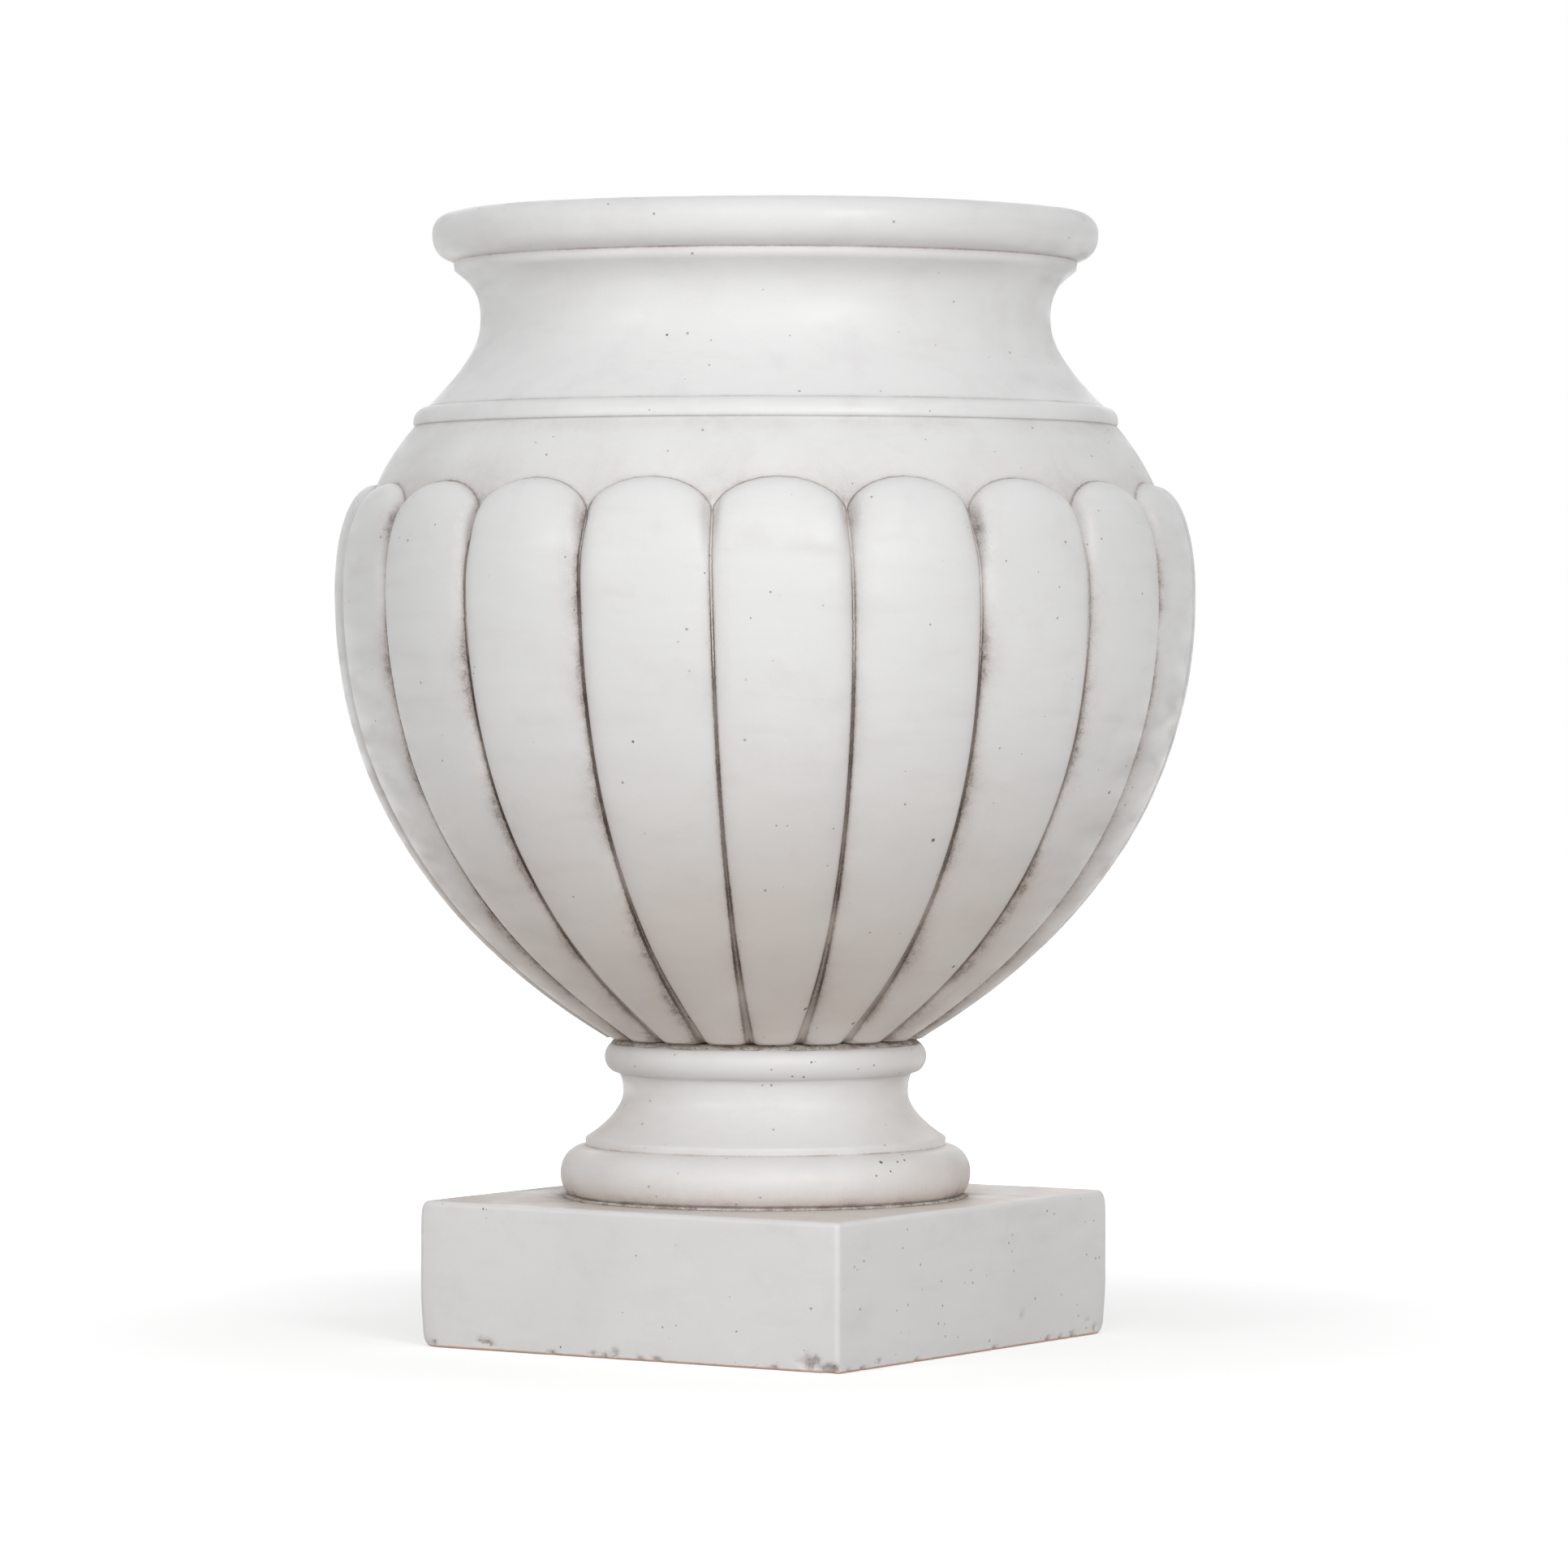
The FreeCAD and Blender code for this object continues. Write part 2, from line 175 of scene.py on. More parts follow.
def closed_grid(name, points, masks):
    """Watertight mesh from points[row][column], joined end to end both ways round."""
    rows, columns = points.shape[:2]
    index = np.arange(rows * columns).reshape(rows, columns)
    right = np.roll(index, -1, axis=1)
    up = np.roll(index, -1, axis=0)
    corner = np.roll(right, -1, axis=0)
    quads = np.stack([index, right, corner, up], axis=-1).reshape(-1, 4)
    mesh = bpy.data.meshes.new(name)
    mesh.from_pydata((points.reshape(-1, 3) * MM).tolist(), [], quads.tolist())
    mesh.update()
    for title, values in masks.items():
        layer = mesh.attributes.new(title, "FLOAT", "POINT")
        spread = np.broadcast_to(values, (rows, columns)).astype(np.float32)
        layer.data.foreach_set("value", spread.reshape(-1))
    mesh.shade_smooth()
    obj = bpy.data.objects.new(name, mesh)
    bpy.context.scene.collection.objects.link(obj)
    return obj


# ---------------------------------------------------------------- bowl

def lobe_columns():
    """Angles of the bowl's columns, and each one's angle from its lobe's crest."""
    from_groove = np.array([0.0, 0.5, 1.0, 1.5, 2.1, 2.9, 4.0, 5.6, 8.0, 11.5, 16.0, 22.0, 30.0])
    inward = from_groove / BELLY[0]
    half = np.concatenate([-HALF_LOBE + inward, [0.0], (HALF_LOBE - inward[1:])[::-1]])
    nominal = np.concatenate([TAU * k / LOBES + half for k in range(LOBES)])
    return nominal, np.tile(half, LOBES)


def channel_width(height):
    """Half width of a groove's floor. It widens towards the bowl's foot."""
    return np.interp(height, [0.0, 20.0, 70.0, 140.0, 240.0], [2.9, 2.3, 1.4, 0.85, 0.8])


def groove_section(gap, share, half_width, height):
    """Depth of a lobe's section below its crest, gap millimetres from the groove's middle."""
    reach = np.minimum(GROOVE_REACH, 0.55 * half_width)
    wall = np.maximum(gap - channel_width(height), 0.0)
    near = np.clip(1.0 - wall / reach, 0.0, 1.0)
    return CROWN_DROP * share ** 2.2 + GROOVE_DEPTH * (1.0 - np.sqrt(1.0 - near ** 2))


def shoulder_radius(height):
    return SHOULDER_CENTRE + np.sqrt(SHOULDER_CURVE ** 2 - (height - SHOULDER_LEVEL) ** 2)


def turned_bowl():
    """What is turned on the bowl, from above the shoulder over the rim and down the cavity."""
    p = Profile(BEAD_FOOT[0] + 0.1, BEAD_FOOT[1]).mark("bead_foot")
    p.line(214.8, 373.0).line(214.8, 374.5)
    p.bend(quarter_out(), 206.9, 383.2, 8)
    p.line(206.2, 383.6).mark("bead_top")
    p.bend(((0.975, 0.564), (1.0, 0.787)), 173.8, 439.5, 12, gather=1.25)
    p.bend(((0.0, 0.624), (0.665, 0.839)), 189.5, 466.5, 8)
    p.line(190.1, 470.6, 2)
    p.line(189.8, 471.8).mark("rim")
    p.line(190.8, 472.2)
    p.bend(((0.70, 0.12), (1.0, 1.0 - ROUND)), 203.0, 489.2, 8)
    p.bend(quarter_out(), 191.2, BOWL_HEIGHT, 8)
    p.line(165.8, BOWL_HEIGHT, 2).mark("lip")
    p.bend(quarter_in(), 153.8, 489.0, 5)
    p.line(153.8, 411.5, 2)
    p.bend(((0.0, 0.29), (1.0, 0.40)), 237.7, BELLY[1], 6)
    p.bend(((0.0, 0.314), (0.272, 0.907)), 80.0, BOWL_FLOOR, 8)
    p.line(31.0, BOWL_FLOOR, 2).line(31.0, RECESS_FLOOR)
    p.line(BORE, RECESS_FLOOR).line(BORE, 0.0, 2)
    return p


def bowl_rows(angle, lean, arch_top):
    """Rows of the bowl from under its seat, up the outside and down the cavity.

    Gives radius, height above the seat, distance from the nearest arch or turned crease,
    distance round the bowl from the nearest groove, and zone: 0 lobes, 1 shoulder,
    2 turned outside, 3 inside and underneath.
    """
    share = np.abs(lean) / HALF_LOBE
    to_side = HALF_LOBE - np.abs(lean)
    rows = []

    def add(*values):
        rows.append([value + 0.0 * angle for value in values])

    # Lower belly, from the scalloped ends of the lobes.
    lift = 0.293 * BELLY[1]
    low = ((SEAT_RADIUS, 0.0), (SEAT_RADIUS + 0.790 * (BELLY[0] - SEAT_RADIUS), lift),
           (BELLY[0], 0.676 * BELLY[1]), BELLY)
    end_rise = 0.6 + 3.6 * (1.0 - np.sqrt(1.0 - (0.985 * share) ** 3.6))
    first = end_rise / (3.0 * lift)
    run = 360.0         # about the length of the lower belly's curve
    steps = 48
    tiny = 1e-4
    belly = []
    for k in range(steps + 1):
        t = first + (1.0 - first) * (k / steps) ** 1.45
        r, z = cubic(low, t)
        after_r, after_z = cubic(low, t + tiny)
        before_r, before_z = cubic(low, t - tiny)
        slope_r, slope_z = after_r - before_r, after_z - before_z
        length = np.hypot(slope_r, slope_z)
        gap = r * to_side
        shallow = 0.72 + 0.28 * smooth(np.hypot(r - SEAT_RADIUS, z), 0.0, 22.0)
        depth = groove_section(gap, share, r * HALF_LOBE, z) * shallow
        belly.append((r - depth * slope_z / length, z + 0.5 * depth * slope_r / length,
                      0.2 + (t - first) * run, gap))
    end_r, end_z, _, end_gap = belly[0]
    add(30.0, 0.0, FAR, FAR, 3)
    add(78.0, 0.0, FAR, FAR, 3)
    add(86.5, 0.1, 6.0, end_gap, 0)
    for inward, drop in ((4.2, 1.5), (2.2, 1.15), (0.9, 0.65), (0.2, 0.2)):
        add(np.maximum(end_r - inward, 87.0), np.maximum(end_z - drop, 0.15), 0.5 * inward, end_gap, 0)
    for row in belly:
        add(*row, 0)

    # Upper belly, which rolls over to the crease under the plain shoulder. Near a groove the
    # lobe meets the shoulder along the shoulder's own slope.
    gap = BELLY[0] * to_side
    start_r = BELLY[0] - groove_section(gap, share, BELLY[0] * HALF_LOBE, BELLY[1])
    crease_r = shoulder_radius(arch_top)
    rise = arch_top - BELLY[1]
    merge = smooth(gap, 7.0, 0.0)
    slope = (arch_top - SHOULDER_LEVEL) / (crease_r - SHOULDER_CENTRE)
    handle_r = crease_r + (1.0 - merge) * 0.62 * (start_r - crease_r) + merge * slope * 0.4 * rise
    handle_z = arch_top - merge * 0.4 * rise
    high = ((start_r, BELLY[1]), (start_r, BELLY[1] + 0.62 * rise), (handle_r, handle_z),
            (crease_r, arch_top))
    steps = 34
    column = [cubic(high, 1.0 - (1.0 - k / steps) ** 1.35) for k in range(1, steps + 1)]
    lengths = [np.hypot(b[0] - a[0], b[1] - a[1]) for a, b in zip(column, column[1:])]
    # Away from a crest the arch runs askew, so that the way to it is shorter.
    shorter = 1.0 / np.sqrt(1.0 + np.gradient(arch_top, angle * ARCH_RADIUS) ** 2)
    for k, (r, z) in enumerate(column):
        add(r, z, sum(lengths[k:]) * shorter, r * to_side, 0)

    # Plain shoulder, from the arches to the bead.
    for s in (0.012, 0.03, 0.06, 0.10, 0.16, 0.24, 0.34, 0.46, 0.60, 0.74, 0.86, 0.95, 1.0):
        z = arch_top + (BEAD_FOOT[1] - arch_top) * s
        above = (z - arch_top) * 1.12
        dip = 0.5 * np.exp(-above / 3.0)
        add(shoulder_radius(z) - dip, z, above * shorter, FAR, 1)

    turned = turned_bowl()
    crease = np.minimum.reduce([turned.distance(name) for name in ("bead_foot", "bead_top", "rim")])
    for k, (r, z) in enumerate(turned.rows):
        add(r, z, crease[k], FAR, 3 if k > turned.marks["lip"] + 3 else 2)
    return [np.array(layer) for layer in zip(*rows)]


def bowl_wash(place, lean, line, groove, zone):
    """Where the dark wash stayed, in the grooves, along the creases and over the scalloped foot, with
    painted shade beside the grooves on the flanks that face the viewer and a painted warm shade towards
    the foot.
    """
    heights = place[..., 2]
    above = heights - BOWL_BOTTOM
    sideways = view_side(place)
    aside = np.abs(sideways)
    lobed = zone == 0
    shoulder = zone == 1
    turned = zone == 2
    arch = shoulder | (lobed & (heights > 440.0))
    lower = smooth(heights, 495.0, 400.0)
    patch = np.clip(waves(place, 55.0, 21), -1.0, 1.0)
    channel = np.where(lobed, groove - channel_width(above), FAR)
    past_floor = np.maximum(channel, 0.0)
    round_side = (HALF_LOBE - np.abs(lean)) * ARCH_RADIUS

    # Painted shade and light: the wash in the grooves is drawn stronger on the viewer's left in the
    # upper half and weaker at the right-hand edge as seen.
    upper_foul_and_shade = 0.46 + 0.40 * smooth(sideways, 0.10, -0.25)
    foul_and_shade = (upper_foul_and_shade + (1.0 - upper_foul_and_shade) * lower) * (1.0 - 0.55 * smooth(sideways, 0.62, 0.85))
    foul_and_shade = foul_and_shade * (0.80 + 0.30 * patch) * smooth(heights, 512.0, 502.0)
    foul_and_shade = foul_and_shade * (1.0 - 0.35 * smooth(above, 60.0, 10.0))

    tip = np.exp(-np.hypot(above - 316.0, round_side) / 5.0) * arch
    dark_turned = np.interp(above, [372.0, 383.6, 384.5, 460.0, 472.0], [0.30, 0.34, 0.34, 0.5, 0.62])
    warm_turned = np.interp(above, [372.0, 383.6, 460.0, 472.0], [0.7, 0.2, 0.6, 0.9])
    dark = np.where(zone > 1, dark_turned, np.where(arch, 0.74 + 0.26 * tip, 0.55))
    dark = dark * (0.85 + 0.3 * patch)
    warm = np.where(zone > 1, warm_turned, np.where(arch, 0.35, 0.5))

    # Smudges over and in the tips between the arches and along the rim and the bead. Beside the
    # grooves, most on the flank that faces the viewer, at each groove's top and beside the arch creases,
    # the darkening is painted shade with the wash; the lobes' ends along the foot are darker too.
    spandrel = np.exp(-np.hypot((above - 324.0) / 14.0, round_side / 17.0))
    # Painted shade: beside the grooves the darkening reaches further and is stronger towards the sides
    # as seen, and is strongest on the flank that faces the viewer.
    groove_reach = np.interp(aside, [0.0, 0.5, 0.85, 1.0], [3.2, 4.8, 4.8, 3.4])
    beside_groove = np.exp(-past_floor / groove_reach) * (0.65 + 0.5 * smooth(aside, 0.1, 0.5))
    viewer_flank_shade = 1.0 - 0.70 * np.sign(lean) * np.clip(sideways / 0.35, -1.0, 1.0)
    grime_and_shade = 0.72 * spandrel * shoulder
    grime_and_shade += 0.30 * np.exp(-line / 3.5) * arch
    grime_and_shade += 0.62 * np.exp(-np.hypot((above - 312.0) / 12.0, past_floor / 6.0)) * lobed
    grime_and_shade += (0.36 + 0.34 * lower) * beside_groove * viewer_flank_shade * lobed
    grime_and_shade += 0.22 * np.exp(-np.maximum(above, 0.0) / 3.0) * lobed
    grime_and_shade += 0.24 * np.exp(-line / 3.0) * turned * (above > 455.0)
    grime_and_shade += 0.36 * np.exp(-np.abs(above - 368.5) / 3.0) * shoulder
    grime_and_shade *= 0.8 + 0.5 * patch

    # Painted warm bounce and shade: warmer and a little darker towards the bowl's foot. The shoulder is
    # a little warmer beside the arch creases.
    tan_and_shade = smooth(heights, 405.0, 185.0) ** 0.9 * (0.9 + 0.15 * patch)
    tan_and_shade += 0.12 * np.exp(-line / 12.0) * shoulder
    pocks = 0.30 * smooth(heights, 330.0, 200.0) + 0.15 * (heights > 655.0) + 0.08
    return {"line": line, "channel": channel, "dark": np.clip(dark, 0, 1), "foul_and_shade": np.clip(foul_and_shade, 0, 1),
            "warm": warm, "grime_and_shade": np.clip(grime_and_shade, 0, 1), "tan_and_shade": tan_and_shade, "pocks": pocks, "raw": zone == 3}


def make_bowl():
    angle, lean = lobe_columns()
    share = np.abs(lean) / HALF_LOBE
    per_lobe = len(angle) // LOBES
    hollow = (1.0 - np.sqrt(1.0 - (share * math.sin(CREST_TURN)) ** 2)) / (1.0 - math.cos(CREST_TURN))
    rng = np.random.default_rng(11)
    arch_shift = np.repeat(rng.uniform(-0.7, 0.5, LOBES), per_lobe) * (1.0 - share ** 2)
    arch_top = LOBE_TOP - ARCH_RISE * hollow + arch_shift
    radii, heights, line, groove, zone = bowl_rows(angle, lean, arch_top)
    heights = heights + BOWL_BOTTOM
    lobed = zone == 0
    outside = zone < 3

    # Each groove leans and wanders a little, as hand-finished moulds do.
    groove_offset = np.radians(rng.uniform(-0.22, 0.22, LOBES))
    drift = np.interp(angle, np.append(angle[::per_lobe], TAU - HALF_LOBE),
                      np.append(groove_offset, groove_offset[0]))
    twist = np.radians(np.interp(heights, [185.0, 300.0, 430.0, 520.0], [1.1, 0.5, 0.0, -0.5]))
    bearing = angle + drift + twist * outside
    place = around(radii, heights, bearing)
    flute_depth = 0.35 * waves(place * [1.0, 1.0, 0.4], 90.0, 3) * np.exp(-groove / 3.0)

    # The mould's flash stands as a thin ridge in the upper half of most grooves.
    ridge = 0.35 + 0.65 * smooth(view_side(place), -0.35, 0.0) + 0.3 * waves(place, 120.0, 8)
    ridge = np.clip(ridge, 0.0, 1.0) * lobed
    ridge = ridge * smooth(heights, 390.0, 440.0) * smooth(heights, 508.0, 492.0)
    flash = 1.7 * ridge * np.clip(1.0 - (groove / 0.7) ** 2, 0.0, 1.0)

    swell = 0.30 * (waves(place, 130.0, 1) - 1.0) + 0.12 * (waves(place, 34.0, 2) - 1.0)
    swell = swell * np.where(outside, 1.0, 0.6) * (heights > BOWL_BOTTOM + 3.0)
    radii = radii + np.where(outside, 0.8, -0.8) * swell + flute_depth + flash
    top = BOWL_BOTTOM + BOWL_HEIGHT
    heights = np.where(heights > top - 6.0, np.minimum(heights + 0.5 * swell, top), heights)
    place = around(radii, heights, bearing)
    masks = bowl_wash(place, lean, line, groove, zone)
    masks["ridge"] = ridge
    return closed_grid("bowl_casting", place, masks)


# ---------------------------------------------------------------- socle

def make_socle():
    p = Profile(BORE, SOCLE_BOTTOM)
    p.line(60.0, SOCLE_BOTTOM).line(112.0, SOCLE_BOTTOM).line(119.5, SOCLE_BOTTOM, 2)
    p.line(121.0, 90.4).mark("seat")
    p.bend(((0.45, 0.15), (1.0, 1.0 - ROUND)), 125.0, 102.5, 9)
    p.bend(quarter_out(), 110.6, 119.2, 13)
    p.line(109.8, 119.5).mark("torus")
    p.line(109.7, 120.3).line(109.9, 123.6, 3).line(109.2, 124.5)
    p.bend(((0.435, 0.219), (1.0, 0.648)), 86.9, 151.5, 16)
    p.bend(((0.0, ROUND), (0.5, 0.85)), 89.4, 163.4, 6)
    p.line(89.9, 163.7).mark("collar")
    p.bend(quarter_in(), 98.2, 173.55, 9)
    p.bend(quarter_out(), 88.7, SOCLE_TOP, 9)
    p.line(60.0, SOCLE_TOP, 3).line(BORE, SOCLE_TOP).line(BORE, 140.0)

    columns = 224
    angle = TAU * np.arange(columns) / columns
    pairs = np.array(p.rows)
    radii = pairs[:, :1] + 0.0 * angle
    heights = pairs[:, 1:] + 0.0 * angle
    place = around(radii, heights, angle)
    swell = 0.26 * waves(place, 85.0, 31) + 0.11 * waves(place, 24.0, 32)
    radii = radii + swell * ((radii > 84.0) & (heights > 89.6) & (heights < 183.4))
    place = around(radii, heights, angle)

    seat, torus, collar = (p.distance(name)[:, None] for name in ("seat", "torus", "collar"))
    sideways = view_side(place)
    patch = np.clip(waves(place, 42.0, 33), -1.0, 1.0)
    above = heights - 90.0
    # Darker towards the joint at the torus's foot.
    grime_and_shade = 0.90 * np.exp(-above / 6.5) * (heights > 89.6) * (heights < 118.0)
    grime_and_shade += 0.16 * np.exp(-collar / 3.0)
    grime_and_shade += 0.80 * smooth(heights, 179.0, 182.6) * (0.75 + 0.35 * waves(place, 30.0, 34))
    # Painted shade towards the edges as seen.
    grime_and_shade += 0.12 * smooth(np.abs(sideways), 0.6, 1.0)
    grime_and_shade = np.clip(grime_and_shade * (0.8 + 0.4 * patch), 0, 1)
    foul_and_shade = np.clip(smooth(heights, 180.5, 183.0) * (0.55 + 0.6 * waves(place, 26.0, 35)), 0.0, 1.0)
    # Painted shade: warmer and darker towards the edges as seen. Warmer towards the torus's foot as
    # well.
    tan_and_shade = 0.03 + 0.36 * smooth(np.abs(sideways), 0.35, 1.0) + 0.08 * patch + 0.6 * np.exp(-above / 9.0)

    # The pits are thickest on the right of the torus and of the collar.
    on_torus = smooth(heights, 100.0, 108.0) * (heights < 119.0)
    on_collar = (heights > 158.0) & (heights < 176.0)
    pocks = 0.12 + 0.85 * np.exp(-((sideways - 0.62) / 0.30) ** 2) * on_torus
    pocks += 0.7 * np.exp(-((sideways - 0.25) / 0.35) ** 2) * on_collar
    return closed_grid("socle_casting", place, {
        "line": np.minimum(torus, seat), "channel": np.where(foul_and_shade > 0.0, -0.6, FAR),
        "dark": np.where(torus < seat, 0.60, 0.50) * (0.8 + 0.3 * patch), "foul_and_shade": foul_and_shade, "warm": 0.85,
        "grime_and_shade": grime_and_shade, "ridge": 0.0, "tan_and_shade": tan_and_shade, "pocks": pocks,
        "raw": ~((radii > 60.0) & (heights > 89.4) & (heights < 183.6))})


# ---------------------------------------------------------------- plinth

# Side of the plinth, place along it from its middle, height, reach and depth of each chip.
CHIPS = ((3, 130.5, 4.5, 6.0, 2.6), (3, 136.0, 7.0, 4.0, 1.6), (3, 144.5, 1.0, 7.0, 3.4),
         (3, 149.5, 3.5, 4.0, 1.8), (3, 107.0, 1.0, 3.2, 1.4), (3, 24.0, 0.8, 3.8, 1.7),
         (3, 12.0, 1.0, 3.0, 1.3), (3, -6.0, 4.0, 3.5, 1.1), (3, -14.0, 1.0, 3.4, 1.5),
         (3, -22.0, 2.5, 3.0, 1.1), (3, -52.0, 0.8, 3.8, 1.7), (3, -98.0, 4.5, 3.6, 1.3),
         (3, -104.0, 5.5, 3.0, 1.1), (3, -140.0, 3.0, 3.0, 1.0), (0, -125.0, 1.0, 3.2, 1.5),
         (0, -108.0, 4.0, 2.6, 1.0), (0, -66.0, 1.0, 3.2, 1.4), (0, 20.0, 1.0, 3.0, 1.3),
         (0, 53.0, 19.0, 2.6, 1.1), (0, 82.0, 1.0, 3.6, 1.7), (0, 96.0, 1.0, 3.0, 1.3),
         (0, 111.0, 1.5, 3.8, 1.6), (0, 128.0, 10.0, 2.6, 1.0), (0, 137.0, 4.0, 3.6, 1.5),
         (0, -140.0, 0.5, 3.0, 1.2), (2, 60.0, 1.0, 4.5, 1.8), (2, -90.0, 0.5, 3.5, 1.4),
         (1, 20.0, 0.8, 4.0, 1.6), (1, 142.0, 1.5, 5.0, 2.2), (2, 128.0, 84.0, 4.0, 1.2),
         (1, -60.0, 86.0, 4.0, 1.0))


def plinth_outline():
    """Outline points and outward normals of the rounded square, anticlockwise from +X."""
    half = PLINTH_HALF
    points = []
    normals = []
    for side in range(4):
        quarter = side * math.pi / 2.0
        before = CORNER_ROUNDS[side - 1]
        after = CORNER_ROUNDS[side]
        c, s = math.cos(quarter), math.sin(quarter)
        for y in np.linspace(-half + before, half - after, 140):
            points.append((half * c - y * s, half * s + y * c))
            normals.append((c, s))
        for k in range(1, 9):
            a = math.pi / 2.0 * k / 9
            x = half - after + after * math.cos(a)
            y = half - after + after * math.sin(a)
            points.append((x * c - y * s, x * s + y * c))
            normals.append((math.cos(a + quarter), math.sin(a + quarter)))
    return np.array(points), np.array(normals)


def plinth_rows(outline, normal):
    """Rows of the plinth from the pocket's edge out and up, over the top and down the bore.

    Gives the places and each row's part: 0 underside, 1 sides, 2 round of the top edge, 3 top,
    4 bore and pocket.
    """
    angle = np.arctan2(outline[:, 1], outline[:, 0])
    circle = np.stack([np.cos(angle), np.sin(angle)], axis=-1)
    rows = []
    part = []

    def add(points, height, where):
        rows.append(np.concatenate([points, np.full((len(points), 1), height)], axis=1))
        part.append(where)

    def mixed(radius, inset, share):
        return (1.0 - share) * radius * circle + share * (outline - inset * normal)

    for share in (0.0, 0.25, 0.5, 0.75, 0.9, 0.97):
        add(mixed(POCKET_RADIUS, 3.0, share), 0.0, 0)
    for k in range(5):
        a = math.pi / 2.0 * k / 4
        add(outline - FOOT_ROUND * (1.0 - math.sin(a)) * normal, FOOT_ROUND * (1.0 - math.cos(a)), 1)
    for z in (1.9, 2.6, 3.4, 4.3, 5.3, 6.5, 8.0, 9.8, 12.0, 15.0, 19.0, 24.0, 30.0, 37.0, 45.0, 53.0,
              61.0, 68.0, 74.0, 78.5, 81.5):
        add(outline, z, 1)
    for k in range(8):
        a = math.pi / 2.0 * k / 7
        inset = TOP_ROUND * (1.0 - math.cos(a))
        add(outline - inset * normal, PLINTH_TOP - TOP_ROUND * (1.0 - math.sin(a)), 2)
    for share in (0.95, 0.85, 0.7, 0.5, 0.3, 0.12, 0.0):
        add(mixed(144.0, TOP_ROUND, share), PLINTH_TOP, 3)
    for radius in (138.0, 132.0, 128.0, 125.5, 124.0, 123.2, 122.4, 121.0, 116.0, 90.0, 50.0, BORE):
        add(radius * circle, PLINTH_TOP, 3)
    for radius, z in ((BORE, 62.0), (BORE, POCKET_TOP),
                      (POCKET_RADIUS, POCKET_TOP), (POCKET_RADIUS, 0.5 * POCKET_TOP)):
        add(radius * circle, z, 4)
    return np.array(rows), np.array(part)[:, None]


def worn(place):
    """The casting is a little out of square, and two of its corners are worn round at the foot."""
    x, y, z = (place[..., k].copy() for k in range(3))
    y += OUT_OF_SQUARE * smooth(y, 30.0, PLINTH_HALF) * smooth(x, 0.0, 150.0)
    foot = np.clip((9.0 - z) / 9.0, 0.0, 1.0)
    pull = 0.9 + 1.6 * smooth(z, 34.0, 0.0) + 5.0 * (1.0 - np.sqrt(1.0 - 0.98 * foot ** 2))
    pull = (pull + 1.6 * smooth(z, 80.0, 88.0)) * math.sqrt(0.5)
    for sign, corner_y in ((1.0, PLINTH_HALF + 2.0), (-1.0, -PLINTH_HALF)):
        near = np.exp(-(np.hypot(x - sign * PLINTH_HALF, y - corner_y) / 9.5) ** 2)
        x -= sign * pull * near
        y -= sign * pull * near
    return np.stack([x, y, z], axis=-1)


def chipped(place, out, side):
    """Bites the chips out of the sides, and gives how much of each point lies in a chip."""
    scar = np.zeros(place.shape[:2])
    for face, along, height, reach, depth in CHIPS:
        quarter = face * math.pi / 2.0
        c, s = math.cos(quarter), math.sin(quarter)
        spot = np.array([PLINTH_HALF * c - along * s, PLINTH_HALF * s + along * c, height])
        away = np.linalg.norm((place - spot) * [1.0, 1.0, 1.25], axis=-1)
        jag = 1.0 + 0.35 * waves(place, reach * 0.9, int(300 + along))
        bite = np.clip(1.0 - (away * jag / reach) ** 2, 0.0, 1.0)
        scar = np.maximum(scar, np.clip(bite * 2.5, 0.0, 1.0))
        place = place - out * (bite * depth * side)[..., None]
    return place, scar * side


def make_plinth():
    outline, normal = plinth_outline()
    place, part = plinth_rows(outline, normal)
    place = worn(place)
    out = np.concatenate([normal, np.zeros((len(normal), 1))], axis=1)[None]
    side = ((part == 1) | (part == 2)) * np.ones(len(normal))
    swell = 0.16 * (waves(place, 110.0, 41) - 1.0) + 0.07 * (waves(place, 30.0, 42) - 1.0)
    place = place + out * (side * swell)[..., None]
    # The top edge is worn in places.
    top_edge = np.exp(-np.abs(place[..., 2] - PLINTH_TOP) / 3.5) * side
    dent = 0.5 * np.clip(waves(place, 55.0, 43), 0.0, 1.0) * top_edge
    place = place - out * dent[..., None]
    place, scar = chipped(place, out, side)

    radius = np.hypot(place[..., 0], place[..., 1])
    on_top = part == 3
    patch = 0.75 + 0.6 * np.clip(waves(place, 38.0, 44), -1.0, 1.0)
    beside = np.maximum(radius - MORTAR_EDGE + 0.5, 0.0)
    # Painted shade under the torus with a smear of dirt, round the mortar's edge on the top.
    grime_and_shade = (0.70 * np.exp(-beside / 4.0) + 0.22 * np.exp(-beside / 14.0)) * on_top * patch
    # Painted shade: the whole top darker, most towards -X under the bowl.
    grime_and_shade = grime_and_shade + on_top * (0.14 + 0.22 * smooth(place[..., 0], 20.0, -80.0))
    # Dirt in the chips; the sides darker towards the foot.
    grime_and_shade = grime_and_shade + 0.45 * scar + 0.10 * side * np.exp(-place[..., 2] / 9.0)
    tan_and_shade = 0.06 + 0.08 * np.clip(waves(place, 70.0, 45), -1.0, 1.0)
    # Painted shade: the top warmer and darker, most near the mortar.
    tan_and_shade = tan_and_shade + (0.7 + 0.3 * np.exp(-beside / 20.0)) * on_top
    return closed_grid("plinth_casting", place, {
        "line": np.where(on_top, np.abs(radius - MORTAR_EDGE), FAR), "channel": FAR + (0.4 - FAR) * scar,
        "dark": 0.45, "foul_and_shade": 0.5 * scar, "warm": 0.3, "grime_and_shade": np.clip(grime_and_shade, 0, 1), "ridge": 0.0,
        "tan_and_shade": tan_and_shade, "pocks": 0.05 + 0.65 * side * np.exp(-place[..., 2] / 14.0),
        "raw": (part == 0) | (part == 4)})


# ---------------------------------------------------------------- mortar

